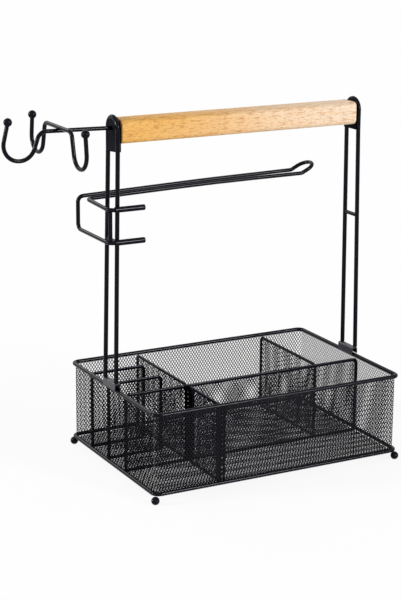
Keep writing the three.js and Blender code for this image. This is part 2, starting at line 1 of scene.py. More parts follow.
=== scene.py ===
"""Looks of the barbecue caddy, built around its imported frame.

Sizes are in millimetres, with X measured from the middle of the basket; build() turns them into the
frame's metres. +Z is up, the hooks are at -X and the front of the basket is at -Y.
"""
import json
import math

import bpy
import numpy as np
from mathutils import Matrix, Vector


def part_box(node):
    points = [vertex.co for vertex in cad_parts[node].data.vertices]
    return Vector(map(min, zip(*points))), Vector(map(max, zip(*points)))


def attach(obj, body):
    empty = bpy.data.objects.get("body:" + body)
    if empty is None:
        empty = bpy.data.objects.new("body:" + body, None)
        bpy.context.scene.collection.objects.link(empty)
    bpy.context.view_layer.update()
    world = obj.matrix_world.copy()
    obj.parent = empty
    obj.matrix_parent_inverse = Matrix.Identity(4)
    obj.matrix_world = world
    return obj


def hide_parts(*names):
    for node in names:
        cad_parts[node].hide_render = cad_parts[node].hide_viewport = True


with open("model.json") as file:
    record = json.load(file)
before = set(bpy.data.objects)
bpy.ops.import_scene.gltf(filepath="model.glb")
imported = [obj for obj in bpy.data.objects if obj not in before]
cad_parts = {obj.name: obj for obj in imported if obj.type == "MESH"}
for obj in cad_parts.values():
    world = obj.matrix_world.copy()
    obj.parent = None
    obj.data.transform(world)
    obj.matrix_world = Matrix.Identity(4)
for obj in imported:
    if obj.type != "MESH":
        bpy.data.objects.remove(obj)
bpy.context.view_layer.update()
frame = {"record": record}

MILLIMETRES = 1000  # in a metre
GAP = 0.3  # between pieces that touch, as packed
EXTRA_RADIUS = 0.25  # added to each wire's packed radius: wires look thinner here than in the photograph

# Basket
BASKET_LENGTH = 330.0
BASKET_DEPTH = 228.0
RIM_HEIGHT = 107.0
RIM_WIRE = 4.5
RIM_CORNER = 8.0
RIM_CLEAR = RIM_WIRE / 2 + GAP
FOOT_BALL = 9.8
FOOT_FLAT = 0.25
FOOT_INSET = 0.8
FOOT_MIDDLE = FOOT_BALL / 2 - FOOT_FLAT
BASE_HEIGHT = FOOT_MIDDLE + FOOT_BALL / 2 + RIM_CLEAR
WALL_INSET = 1.6  # middle of a mesh wall, inwards from the rim wire centre
WALL_LOW = 13.4  # the walls run into the rim wires
WALL_HIGH = 105.8
FLOOR_TOP = BASE_HEIGHT - RIM_CLEAR
FLOOR_SHEET = 0.8
FLOOR_INSET = 1.2
FLOOR_CORNER = 6.0

# Expanded mesh; hole shares and leans are set to make each panel about as dark as in the photograph
PITCH_ACROSS = 3.85
PITCH_UP = 5.8
HOLE_SHARE = 0.735  # of the pitch, both ways
FLOOR_HOLE_SHARE = 0.54
STRAND_LEAN = 0.06  # a strand's edges lie this far out of the sheet, one to each side
LEFT_WALL_LEAN = 0.28
PARTITION_LEAN = -0.28
PARTITION_HOLE_SHARE = 0.8
STRAND_THICKNESS = 0.28

# Dividers
DIVIDER_LOW = FLOOR_TOP + GAP
DIVIDER_HEIGHT = RIM_HEIGHT - DIVIDER_LOW
HEM_WIDTH = 4.0
HEM_THICKNESS = 2.4
HEM_TOP_CORNER = 7.0
HEM_LOW_CORNER = 4.6
HEM_LIP = 0.35
HEM_STEPS = 8
MESH_IN_HEM = 2.0  # how far a divider's mesh reaches into its hem, from the hem's outside
LONG_DIVIDER_Y = -27.8
LEFT_CROSS_X = -77.9
RIGHT_CROSS_X = 102.0
FLANGE_WIDTH = 6.5
FLANGE_THICKNESS = 0.8
FLANGE_HOLES_FROM_FOLD = 2.4
FLANGE_HOLE_SHARE = 0.6
STILE_WIDTH = 13.0  # solid ends of the divider that has flanges
STILE_THICKNESS = 1.0
MESH_IN_STILE = 1.0
PARTITION_LENGTH = 74.35
PARTITIONS = {"back_partition": 66.733, "middle_partition": 19.467}

# Leg frames and handle
LEG_WIRE = 4.8
LEG_FOOT_SPACING = 29.2
LEG_TOP_SPACING = 25.8
LEG_FOOT_X = 166.5
LEG_TOP_X = 162.0
ARCH_HEIGHT = 430.0
PLATE_DROP = 38.0
PLATE_LOW = ARCH_HEIGHT - PLATE_DROP
PLATE_SHEET = 1.6
PLATE_EDGE_STEPS = 10
PLATE_OUTSIDE = LEG_TOP_X - LEG_WIRE / 2 - GAP
# Lower edge of each end plate below the top of the arch, at its two corners; the left one slants
PLATE_DROPS = {"left": (41.2, 38.9), "right": (36.5, 36.5)}
BOSS_OUTSET = 1.8
BOSS_FACE = LEG_TOP_X + BOSS_OUTSET  # outer face of the boss that fills the arch of the wire
BOSS_EASE = 0.5
BORE_CLEAR = 0.4
RUNG_WIRE = 4.2
RUNG_HEIGHT = 286.5
SADDLE_SHEET = 1.2
SADDLE_LENGTH = 32.6
SADDLE_RISE = 6.0
SADDLE_TOP = RIM_CLEAR + SADDLE_RISE + SADDLE_SHEET  # above the rim wire centre
SADDLE_SKIRT = 0.8
SADDLE_FLARE = 0.6
SADDLE_FLARE_DROP = 8.0
SADDLE_BEND = 1.3
SHEET_EASE = 0.3  # edges of saddles and end plates
LEG_LOW = RIM_HEIGHT + SADDLE_TOP
HANDLE_DEPTH = 31.0
HANDLE_HEIGHT = 27.4
HANDLE_MIDDLE = 413.9
HANDLE_END = PLATE_OUTSIDE - PLATE_SHEET - GAP
HANDLE_CORNER = 6.0
HANDLE_EASE = 1.4
HANDLE_EASE_STEPS = 6
SCREW_SHANK = 4.0
SCREW_TIP = 2.4
SCREW_TAPER = 1.6
SCREW_GRIP = 24.0
SCREW_HEAD = 9.0
SCREW_HEAD_HEIGHT = 2.8
# Domed head: how far it draws in from its side, and at which height
SCREW_DOME = ((0.2, 0), (0, 0.2), (0, 0.9), (0.25, 1.6), (0.8, 2.2), (1.6, 2.65), (2.4, SCREW_HEAD_HEIGHT))
SCREW_SOCKET = 3.0
SCREW_SOCKET_TAPER = 0.1
SCREW_SOCKET_DEPTH = 1.4

# Hook rack
HOOK_WIRE = 4.4
HOOK_BALL = 9.8
NECK_MARGIN = 0.15  # a ball's flat, where its wire enters, is this much wider than the wire as packed
ROD_HEIGHT = 418.5
ROD_TILT = 0.025  # the rod climbs a little outwards, as in the photograph
ROD_LEVEL_REACH = 48.0  # where it is at ROD_HEIGHT, outwards from the leg frame
ROD_GRIP = 28.0
ROD_REACH = 89.6
ROD_BEND = 11.0
END_HOOK_WIDTH = 37.5
END_HOOK_DEPTH = 30.3
END_HOOK_BEND = 18.5
END_HOOK_LEAN = 10.9
END_HOOK_TIP_LEAN = 10.5
END_HOOK_RISE = 14.0
DOUBLE_HOOK_REACH = 67.5
DOUBLE_HOOK_LIFT = HOOK_WIRE + GAP
DOUBLE_HOOK_BRIDGE = 74.0
BRIDGE_BEND = 8.0
DOUBLE_HOOK_WIDTH = 33.0
DOUBLE_HOOK_DEPTH = 37.8
DOUBLE_HOOK_BEND = 17.0
DOUBLE_HOOK_LEAN = 9.0
DOUBLE_HOOK_TIP_LEAN = 5.0
DOUBLE_HOOK_RISE = 3.2

# Towel arm
TOWEL_WIRE = 4.4
TOWEL_HEIGHT = 326.3
PRONG_SPACING = 38.6
PRONG_END = 34.2
SOCKET_BORE = 2.6
SOCKET_OUTSIDE = 3.4
SOCKET_LENGTH = 37.6
SOCKET_OFFSET = 6.0
SOCKET_END = 1.4
SOCKET_EASE = 0.7
SOCKET_BORE_EASE = 0.4
SOCKET_LIP = 0.2
RUN_STANDOFF = 7.0
NEAR_STRAND = 41.5
STRAND_SPACING = 26.0
NEAR_LIFT = 2.0
NEAR_BOW_LIFT = 1.9
NEAR_TIP_LIFT = 0.45
ARM_LENGTH = 291.5
ARM_RISE = 7.5
ARM_BOW = 0.6  # the strands are a little bowed
ARM_BOW_PLACE = 0.58
ARM_BOW_BEND = 4000.0
TIP_DROP = 0.6
TIP_REACH = 21.0
TIP_RISE = 9.5
ARM_BEND = 7.0
TIP_BEND = 8.0
TIP_SHIFT = 1.0

# Fineness
WIRE_SIDES = 20
BEND_STEP = math.radians(6)
TURNED_SIDES = 40
WIRE_END_EASE = 0.4
WIRE_END_SHARE = 0.78
STEADY = 0.3  # a ring this close to a bend keeps the shading of the straight part even
STEADY_EASE = 1.5  # the same for an eased edge, in widths of the ease
SHARP_ANGLE = math.radians(38)
SAME_POINT = 0.01  # points nearer than this count as one; a ball is capped this far below its pole
TINY = 1e-6
NEARLY_UPRIGHT = 0.9
HOLE_SIDE_SHARE = 0.35  # on the map a hole's sides reach this far towards its middle

# View
CAMERA_X = -991.85
CAMERA_Y = -1760.54
CAMERA_Z = 749.96
CAMERA_AZIMUTH = 0.492497
CAMERA_ELEVATION = 0.268677
CAMERA_ROLL = 0.008196
CAMERA_LENS = 103.55

# The frame's X runs from the middle of the whole object, and the handle is in the middle of the basket
handle_low, handle_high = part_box("wood_handle")
MIDDLE_X = MILLIMETRES * (handle_low.x + handle_high.x) / 2

body_of_node = {
    node: body for body, nodes in frame["record"]["behaviour"]["bodies"].items() for node in nodes
}


def to_metres(points):
    """Frame metres of points in millimetres from the middle of the basket."""
    moved = np.array([tuple(point) for point in points], float)
    moved[:, 0] += MIDDLE_X
    return moved / MILLIMETRES


class Socket:
    """An output socket; operators on it add Math nodes."""

    def __init__(self, tree, socket):
        self.tree = tree
        self.socket = socket

    def __add__(self, other):
        return self.tree.math("ADD", self, other)

    def __sub__(self, other):
        return self.tree.math("SUBTRACT", self, other)

    def __rsub__(self, other):
        return self.tree.math("SUBTRACT", other, self)

    def __mul__(self, other):
        return self.tree.math("MULTIPLY", self, other)

    __radd__ = __add__
    __rmul__ = __mul__


class NodeTree:
    """A node tree that is filled by calls."""

    def __init__(self, tree):
        self.tree = tree
        tree.nodes.clear()

    def node(self, kind, sockets=None, settings=None, output=0):
        made = self.tree.nodes.new("ShaderNode" + kind)
        for name, value in (settings or {}).items():
            setattr(made, name, value)
        for name, value in (sockets or {}).items():
            if isinstance(value, Socket):
                self.tree.links.new(value.socket, made.inputs[name])
            else:
                made.inputs[name].default_value = value
        return Socket(self, made.outputs[output]) if made.outputs else made

    def math(self, operation, first, second):
        return self.node("Math", {0: first, 1: second}, {"operation": operation})

    def mix(self, factor, first, second):
        return self.node("Mix", {0: factor, 6: first, 7: second}, {"data_type": "RGBA"}, 2)

    def stretched(self, scale):
        place = self.node("TexCoord", output="Object")
        return self.node("VectorMath", {0: place, 1: scale}, {"operation": "MULTIPLY"})

    def noise(self, scale, detail=2.0, roughness=0.5):
        """Noise in cycles a metre, from 0 to 1, even or drawn out along an axis."""
        sizes = scale if isinstance(scale, tuple) else (scale, scale, scale)
        sockets = {"Vector": self.stretched(sizes), "Scale": 1.0, "Detail": detail, "Roughness": roughness}
        return self.node("TexNoise", sockets)

    def ramp(self, value, low, high):
        return self.node("MapRange", {0: value, 1: low, 2: high}, {"interpolation_type": "SMOOTHSTEP"})


def new_finish(name):
    material = bpy.data.materials.new(name)
    material.use_nodes = True
    return material, NodeTree(material.node_tree)


def surface(tree, sockets):
    tree.node("OutputMaterial", {"Surface": tree.node("BsdfPrincipled", sockets)})


def powder_coat(name, gloss=0.08, roughness=0.09, peel_depth=0.03):
    """Black powder coat: faint mottling, uneven gloss and the fine peel of the powder."""
    material, tree = new_finish(name)
    drift = tree.noise(22.0, 3.0)
    peel = tree.noise(620.0, 2.0)
    grain = tree.noise(2300.0, 2.0)
    mottle = drift * 0.5 + grain * 0.5
    sockets = {
        "Base Color": tree.mix(mottle, (0.0013, 0.0014, 0.0026, 1), (0.005, 0.0052, 0.0085, 1)),
        "Roughness": roughness + drift * 0.08 + peel * 0.06,
        "Specular IOR Level": gloss,
        "Specular Tint": (0.92, 0.91, 1, 1),
    }
    if peel_depth:
        height = peel * 0.6 + grain * 0.4
        bump = {"Strength": peel_depth, "Distance": 0.00005, "Height": height}
        sockets["Normal"] = tree.node("Bump", bump)
    surface(tree, sockets)
    return material


def beech_wood():
    """Oiled beech along X: a slow colour drift from tan to pale, partly the wood's own change and partly
    painted light on the paler +X end; broad figure, growth lines and short dark flecks.
    """
    material, tree = new_finish("beech_wood")
    place = tree.node("TexCoord", output="Object")
    along = tree.node("SeparateXYZ", {0: place}, output="X")
    # Painted light in part: the colour runs paler towards +X, partly the wood's own change and partly light
    # painted onto that end
    drift = tree.ramp(along + (tree.noise((6.0, 40.0, 40.0)) - 0.5) * 0.12, -0.08, 0.23)
    figure = tree.noise((16.0, 130.0, 130.0), 3.0)
    lines = tree.noise((20.0, 700.0, 700.0), 3.0, 0.6)
    long_flecks = tree.ramp(tree.noise((90.0, 520.0, 520.0), 2.0), 0.50, 0.66)
    short_flecks = tree.ramp(tree.noise((220.0, 900.0, 900.0), 1.0), 0.54, 0.68)
    flecks = long_flecks * 0.7 + short_flecks * 0.6
    tan = tree.mix(figure, (0.66, 0.33, 0.053, 1), (0.68, 0.4, 0.106, 1))
    # The pale colour of the +X end holds painted light as well as the wood's own paler tone
    pale_end_with_painted_light = tree.mix(figure, (0.73, 0.55, 0.38, 1), (0.75, 0.63, 0.5, 1))
    ground = tree.mix(drift, tan, pale_end_with_painted_light)
    lined = tree.mix(tree.ramp(lines, 0.4, 0.75) * 0.25, ground, (0.72, 0.36, 0.1, 1))
    # The flecks fade towards the paler end, along with the painted light there
    colour = tree.mix(flecks * (1 - drift * 0.3), lined, (0.47, 0.2, 0.05, 1))
    height = lines * 0.5 - flecks * 0.8
    sockets = {
        "Base Color": colour,
        "Roughness": 0.5 + lines * 0.12 + flecks * 0.15,
        "Specular IOR Level": 0.35,
        "Normal": tree.node("Bump", {"Strength": 0.3, "Distance": 0.00025, "Height": height}),
    }
    surface(tree, sockets)
    return material


# The caddy seems to have one coat; its gloss is set by kind of piece, to look as in the photograph
WIRE_COAT = powder_coat("black_powder_coat")
MESH_COAT = powder_coat("black_mesh_coat", 0.17, peel_depth=0)
PLATE_COAT = powder_coat("black_plate_coat", 0.02, 0.5, 0.2)
SADDLE_COAT = powder_coat("black_saddle_coat", 0.6, 0.3, 0.2)
BEECH = beech_wood()


def build(suffix, node, points, faces, finish=WIRE_COAT, uv=None):
    """Makes a piece that stands for a node and moves with it."""
    name = f"{node}_{suffix}"
    mesh = bpy.data.meshes.new(name)
    mesh.from_pydata(to_metres(points).tolist(), [], [tuple(face) for face in faces])
    mesh.polygons.foreach_set("use_smooth", [True] * len(mesh.polygons))
    mesh.set_sharp_from_angle(angle=SHARP_ANGLE)
    if uv is not None:
        layer = mesh.uv_layers.new(name="OFBake")
        layer.data.foreach_set("uv", np.asarray(uv, np.float32).ravel())
    mesh.materials.append(finish)
    piece = bpy.data.objects.new(name, mesh)
    bpy.context.scene.collection.objects.link(piece)
    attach(piece, body_of_node[node])
    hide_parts(node)


def bent_line(corners):
    """Centre line of a bent wire from (x, y, z, bend radius) corners.

    A corner with no radius stays a point.
    """
    line = []
    for i, corner in enumerate(corners):
        here = Vector(corner[:3])
        if len(corner) == 3:
            line.append(here)
            continue
        bend = corner[3]
        back = (Vector(corners[i - 1][:3]) - here).normalized()
        onward = (Vector(corners[(i + 1) % len(corners)][:3]) - here).normalized()
        half = back.angle(onward) / 2
        centre = here + (back + onward).normalized() * (bend / math.sin(half))
        start = here + back * (bend / math.tan(half)) - centre
        turn = math.pi - 2 * half
        steps = max(2, math.ceil(turn / BEND_STEP))
        axis = onward.cross(back)
        arc = [centre + Matrix.Rotation(turn * k / steps, 3, axis) @ start for k in range(steps + 1)]
        line.extend([arc[0] + back * STEADY, *arc, arc[-1] + onward * STEADY])
    return [point for i, point in enumerate(line) if i == 0 or (point - line[i - 1]).length > SAME_POINT]


def swept(line, section, closed=False, side=None):
    """A section carried along a line; section points run anticlockwise about the way ahead."""
    count = len(line)
    ahead = []
    for i, here in enumerate(line):
        before = line[i - 1] if closed or i > 0 else here
        after = line[(i + 1) % count] if closed or i < count - 1 else here
        ahead.append(((here - before).normalized() + (after - here).normalized()).normalized())
    if side is None:
        side = Vector((1, 0, 0)) if abs(ahead[0].z) > NEARLY_UPRIGHT else Vector((0, 0, 1))
    side = (side - ahead[0] * side.dot(ahead[0])).normalized()
    size = len(section)
    points = []
    for i, here in enumerate(line):
        if i > 0:
            side = ahead[i - 1].rotation_difference(ahead[i]) @ side
        other = ahead[i].cross(side)
        share = WIRE_END_SHARE if not closed and i in (0, count - 1) else 1.0
        points.extend(here + side * (a * share) + other * (b * share) for a, b in section)
    faces = []
    for i in range(count if closed else count - 1):
        low = i * size
        high = ((i + 1) % count) * size
        for s in range(size):
            faces.append((low + s, low + (s + 1) % size, high + (s + 1) % size, high + s))
    if not closed:
        last = (count - 1) * size
        faces.append(tuple(range(size - 1, -1, -1)))
        faces.append(tuple(range(last, last + size)))
    return points, faces


def ring(radius, sides):
    angles = [2 * math.pi * s / sides for s in range(sides)]
    return [(radius * math.cos(angle), radius * math.sin(angle)) for angle in angles]


def build_wire(node, corners, diameter, closed=False):
    line = bent_line(corners)
    if not closed:
        first_step = (line[1] - line[0]).normalized() * WIRE_END_EASE
        last_step = (line[-2] - line[-1]).normalized() * WIRE_END_EASE
        line = [line[0], line[0] + first_step, *line[1:-1], line[-1] + last_step, line[-1]]
    build("rod", node, *swept(line, ring(diameter / 2 + EXTRA_RADIUS, WIRE_SIDES), closed))


def build_turned(suffix, node, profile, origin, axis):
    """A body turned about an axis from (radius, height) pairs, which run from the bottom to the top."""
    turn = Vector((0, 0, 1)).rotation_difference(Vector(axis))
    points = []
    faces = []
    for radius, height in profile:
        points.extend(Vector(origin) + turn @ Vector((x, y, height)) for x, y in ring(radius, TURNED_SIDES))
    for i in range(len(profile) - 1):
        low = i * TURNED_SIDES
        for s in range(TURNED_SIDES):
            n = (s + 1) % TURNED_SIDES
            faces.append((low + s, low + n, low + n + TURNED_SIDES, low + s + TURNED_SIDES))
    last = (len(profile) - 1) * TURNED_SIDES
    faces.append(tuple(range(TURNED_SIDES - 1, -1, -1)))
    faces.append(tuple(range(last, last + TURNED_SIDES)))
    build(suffix, node, points, faces)


def ball_profile(radius, lowest, highest, steps=20):
    start = math.asin(lowest / radius)
    turn = math.asin(highest / radius) - start
    angles = [start + turn * step / steps for step in range(steps + 1)]
    return [(radius * math.cos(angle), radius * math.sin(angle)) for angle in angles]


def thickened(plan, faces, thickness, place, hole, size):
    """Closed body of a flat net of faces.

    plan holds (u, v, offset) points, place() sets them in space, and hole gives the middle of the hole
    next to each point.
    """
    count = len(plan)
    u, v, offset = plan.T
    points = np.vstack([place(u, v, offset + thickness / 2), place(u, v, offset - thickness / 2)])
    starts = faces.ravel()
    ends = np.roll(faces, -1, axis=1).ravel()
    open_edges = ~np.isin(starts * count + ends, ends * count + starts)
    a = starts[open_edges]
    b = ends[open_edges]
    rims = np.stack([a, a + count, b + count, b], axis=1)
    quads = np.vstack([faces, faces[:, ::-1] + count, rims])
    flat = plan[:, :2] / size
    inner = flat + HOLE_SIDE_SHARE * (hole / size - flat)
    sides = np.vstack([flat, flat])
    uv = np.vstack([sides[quads[: 2 * len(faces)].ravel()], np.vstack([flat, inner])[rims.ravel()]])
    return points, quads, uv


def build_mesh(node, width, height, keep, place, lean=STRAND_LEAN, hole_share=HOLE_SHARE, open_end=False):
    """Expanded mesh: staggered diamond holes with leaning strands that meet in bonds.

    keep(u, v) says which bonds are there; open_end leaves out the last bonds, which the next panel brings.
    """
    columns = round(width / PITCH_ACROSS)
    rows = round(height / PITCH_UP)
    step_u = width / columns / 2
    step_v = height / rows / 2
    i, j = np.meshgrid(np.arange(-1, 2 * columns + 2), np.arange(-1, 2 * rows + 2), indexing="ij")
    number = np.arange(i.size).reshape(i.shape)
    centre = np.stack([i.ravel() * step_u, j.ravel() * step_v], axis=1)
    reach_u = hole_share * step_u
    reach_v = hole_share * step_v
    sides = [(-reach_u, 0, lean), (reach_u, 0, -lean)]
    corner = np.array([*sides, (0, reach_v, 0), (0, -reach_v, 0)])
    plan = np.zeros((i.size, 4, 3))
    plan[:, :, :2] = centre[:, None, :]
    plan = (plan + corner).reshape(-1, 3)
    left, right, top, bottom = (4 * number + k for k in range(4))
    inside = (i >= 0) & (i <= 2 * columns) & (j >= 0) & (j <= 2 * rows) & ((i + j) % 2 == 1)
    inside &= keep(i * step_u, j * step_v)
    here = (slice(1, -1), slice(1, -1))
    west = (slice(0, -2), slice(1, -1))
    east = (slice(2, None), slice(1, -1))
    south = (slice(1, -1), slice(0, -2))
    north = (slice(1, -1), slice(2, None))
    north_east = (slice(2, None), slice(2, None))
    north_west = (slice(0, -2), slice(2, None))
    bond = inside[here] & ((i[here] < 2 * columns) | (not open_end))
    bonds = np.stack([right[west], top[south], left[east], bottom[north]], axis=-1)[bond]
    rising = inside[east] & inside[north]
    strands = np.stack([right[here], bottom[north_east], left[north_east], top[here]], axis=-1)[rising]
    falling = inside[west] & inside[north]
    others = np.stack([top[here], right[north_west], bottom[north_west], left[here]], axis=-1)[falling]
    used, faces = np.unique(np.vstack([bonds, strands, others]), return_inverse=True)
    faces = faces.reshape(-1, 4)
    hole = np.repeat(centre, 4, axis=0)[used]
    size = np.array([width, height])
    points, quads, uv = thickened(plan[used], faces, STRAND_THICKNESS, place, hole, size)
    build("expanded", node, points, quads.tolist(), MESH_COAT, uv)


def flat_place(origin, along, up):
    """Places flat plan points in space; offsets go along the normal."""
    origin = np.array(origin, float)
    along = np.array(along, float)
    up = np.array(up, float)
    normal = np.cross(along, up)
    return lambda u, v, w: origin + np.outer(u, along) + np.outer(v, up) + np.outer(w, normal)


def everywhere(u, v):
    return np.ones(u.shape, bool)


def in_round_rectangle(width, height, low_corner, top_corner):
    def test(u, v):
        corner = np.where(v < height / 2, low_corner, top_corner)
        out_u = np.maximum(np.abs(u - width / 2) - (width / 2 - corner), 0)
        out_v = np.maximum(np.abs(v - height / 2) - (height / 2 - corner), 0)
        return np.hypot(out_u, out_v) <= corner + TINY
    return test


def joined(*shapes):
    """One set of points and faces from several."""
    points = []
    faces = []
    for shape_points, shape_faces in shapes:
        start = len(points)
        points.extend(tuple(point) for point in shape_points)
        faces.extend(tuple(start + k for k in face) for face in shape_faces)
    return points, faces


def inward_ways(flat):
    """Moves that set each point of an anticlockwise outline in by one."""
    ahead = np.roll(flat, -1, axis=0) - flat
    ahead /= np.linalg.norm(ahead, axis=1)[:, None]
    before = np.roll(ahead, 1, axis=0)
    ways = np.stack([-ahead[:, 1] - before[:, 1], ahead[:, 0] + before[:, 0]], axis=1)
    return ways / (1 + (ahead * before).sum(axis=1))[:, None]


def stacked(loops, place, closed=False):
    """Points and wall faces of (outline, height) loops, all with the same number of points."""
    count = len(loops[0][0])
    points = []
    for outline, height in loops:
        points.extend(place(*outline.T, np.full(count, height)))
    faces = []
    for level in range(len(loops) if closed else len(loops) - 1):
        low = level * count
        high = (level + 1) % len(loops) * count
        for s in range(count):
            n = (s + 1) % count
            faces.append((low + s, low + n, high + n, high + s))
    return points, faces


def slab(outline, thickness, ease, place, steps=3):
    """A closed outline carried across its plane, with eased edges."""
    flat = np.array(outline, float)
    inward = inward_ways(flat)
    turns = [math.pi / 2 * k / steps for k in range(steps + 1)]
    levels = [(ease * (1 - math.sin(t)), -thickness / 2 + ease * (1 - math.cos(t))) for t in turns]
    levels.append((0, -thickness / 2 + STEADY_EASE * ease))
    levels += [(inset, -height) for inset, height in reversed(levels)]
    points, faces = stacked([(flat + inward * inset, height) for inset, height in levels], place)
    count = len(flat)
    faces.append(tuple(range(count - 1, -1, -1)))
    faces.append(tuple(range(len(points) - count, len(points))))
    return points, faces


def bored_slab(outline, bore, centre, thickness, ease, place):
    """A slab with a round bore, eased on its outer side; all of its outline is in sight of the bore."""
    flat = np.array(outline, float)
    centre = np.array(centre, float)
    outward = flat - centre
    outward /= np.linalg.norm(outward, axis=1)[:, None]
    high = thickness / 2
    loops = [
        (flat, -high),
        (flat, high - ease),
        (flat + inward_ways(flat) * ease, high),
        (centre + outward * (bore + ease), high),
        (centre + outward * bore, high - ease),
        (centre + outward * bore, -high),
    ]
    return stacked(loops, place, True)


def round_outline(width, height, corner, steps=10):
    """Anticlockwise outline of a rounded rectangle about the origin."""
    outline = []
    for start, side_x, side_y in ((-90, 1, -1), (0, 1, 1), (90, -1, 1), (180, -1, -1)):
        for step in range(steps + 1):
            angle = math.radians(start + 90 * step / steps)
            x = side_x * (width / 2 - corner) + corner * math.cos(angle)
            y = side_y * (height / 2 - corner) + corner * math.sin(angle)
            outline.append((x, y))
    return outline


# Rims
half_length = BASKET_LENGTH / 2
half_depth = BASKET_DEPTH / 2
for node, height in (("top_rim", RIM_HEIGHT), ("base_rim", BASE_HEIGHT)):
    rim_corners = [
        (half_length, -half_depth, height, RIM_CORNER),
        (half_length, half_depth, height, RIM_CORNER),
        (-half_length, half_depth, height, RIM_CORNER),
        (-half_length, -half_depth, height, RIM_CORNER),
    ]
    build_wire(node, rim_corners, RIM_WIRE, True)


# Walls: one belt of mesh round the basket, parted at the middles of its rounded corners
def wall_place(along, outward, half_width, standoff, bend, length):
    arc = math.pi / 4 * bend
    along = np.array(along, float)
    outward = np.array(outward, float)

    def place(u, v, w):
        turn = (np.maximum(u - (length - arc), 0) - np.maximum(arc - u, 0)) / bend
        run = np.clip(u, arc, length - arc) - arc - (half_width - bend)
        out = standoff - bend + (bend + w) * np.cos(turn)
        side = run + (bend + w) * np.sin(turn)
        return np.outer(side, along) + np.outer(out, outward) + np.outer(v + WALL_LOW, (0, 0, 1))
    return place


wall_bend = RIM_CORNER - WALL_INSET
wall_height = WALL_HIGH - WALL_LOW
wall_x = half_length - WALL_INSET
wall_y = half_depth - WALL_INSET
for node, along, outward, half_width, standoff, lean in (
    ("front_wall_mesh", (1, 0, 0), (0, -1, 0), wall_x, wall_y, STRAND_LEAN),
    ("right_wall_mesh", (0, 1, 0), (1, 0, 0), wall_y, wall_x, STRAND_LEAN),
    ("back_wall_mesh", (-1, 0, 0), (0, 1, 0), wall_x, wall_y, STRAND_LEAN),
    ("left_wall_mesh", (0, -1, 0), (-1, 0, 0), wall_y, wall_x, LEFT_WALL_LEAN),
):
    length = 2 * (half_width - wall_bend) + math.pi / 2 * wall_bend
    belt = wall_place(along, outward, half_width, standoff, wall_bend, length)
    build_mesh(node, length, wall_height, everywhere, belt, lean, open_end=True)

floor_length = BASKET_LENGTH - 2 * FLOOR_INSET
floor_depth = BASKET_DEPTH - 2 * FLOOR_INSET
floor_start = (-floor_length / 2, -floor_depth / 2, FLOOR_TOP - FLOOR_SHEET / 2)
floor_place = flat_place(floor_start, (1, 0, 0), (0, 1, 0))
floor_keep = in_round_rectangle(floor_length, floor_depth, FLOOR_CORNER, FLOOR_CORNER)
build_mesh("floor_mesh", floor_length, floor_depth, floor_keep, floor_place, hole_share=FLOOR_HOLE_SHARE)

# Feet
foot_profile = ball_profile(FOOT_BALL / 2, -FOOT_MIDDLE, FOOT_BALL / 2 - SAME_POINT)
for node, side_x, side_y in (
    ("foot_front_left", -1, -1),
    ("foot_front_right", 1, -1),
    ("foot_back_left", -1, 1),
    ("foot_back_right", 1, 1),
):
    foot_place = (side_x * (half_length - FOOT_INSET), side_y * (half_depth - FOOT_INSET), FOOT_MIDDLE)
    build_turned("ball", node, foot_profile, foot_place, (0, 0, 1))


# Dividers: mesh held in a folded hem that is round outside and has two lips inside
def hem_section():
    half = HEM_THICKNESS / 2
    angles = [math.pi * k / HEM_STEPS for k in range(HEM_STEPS + 1)]
    bend = [(half * math.cos(angle), half * math.sin(angle) - half) for angle in angles]
    lips = [(-half, HEM_LIP - HEM_WIDTH), (HEM_LIP - half, -HEM_WIDTH), (-HEM_LIP, -HEM_WIDTH)]
    return [*bend, *lips, (0, HEM_LIP - HEM_WIDTH), *[(-a, b) for a, b in reversed(lips)]]


def build_divider(name, along, length, x, y, stile=0, lean=STRAND_LEAN, hole_share=HOLE_SHARE):
    """A hemmed mesh sheet from the floor to the rim; a stile is a solid strip at both of its ends."""
    direction = Vector((1, 0, 0)) if along else Vector((0, 1, 0))
    upright = Vector((0, 0, 1))
    origin = Vector((x, y, DIVIDER_LOW))
    outline = [
        (0, 0, HEM_LOW_CORNER),
        (length, 0, HEM_LOW_CORNER),
        (length, DIVIDER_HEIGHT, HEM_TOP_CORNER),
        (0, DIVIDER_HEIGHT, HEM_TOP_CORNER),
    ]
    corners = [(*(origin + direction * u + upright * v), corner) for u, v, corner in outline]
    shapes = [swept(bent_line(corners), hem_section(), True, direction.cross(upright))]
    side = MESH_IN_HEM
    if stile:
        side = stile - MESH_IN_STILE
        strip = round_outline(stile - MESH_IN_HEM, DIVIDER_HEIGHT - 2 * MESH_IN_HEM, HEM_LIP)
        from_end = (stile + MESH_IN_HEM) / 2
        for u in (from_end, length - from_end):
            middle = origin + direction * u + upright * (DIVIDER_HEIGHT / 2)
            place = flat_place(middle, direction, upright)
            shapes.append(slab(strip, STILE_THICKNESS, HEM_LIP, place))
    build("fold", f"{name}_hem", *joined(*shapes))
    start = origin + direction * side + upright * MESH_IN_HEM
    mesh_length = length - 2 * side
    mesh_height = DIVIDER_HEIGHT - 2 * MESH_IN_HEM
    low_corner = max(HEM_LOW_CORNER - side, 0)
    keep = in_round_rectangle(mesh_length, mesh_height, low_corner, max(HEM_TOP_CORNER - side, 0))
    place = flat_place(start, direction, upright)
    build_mesh(f"{name}_mesh", mesh_length, mesh_height, keep, place, lean, hole_share)


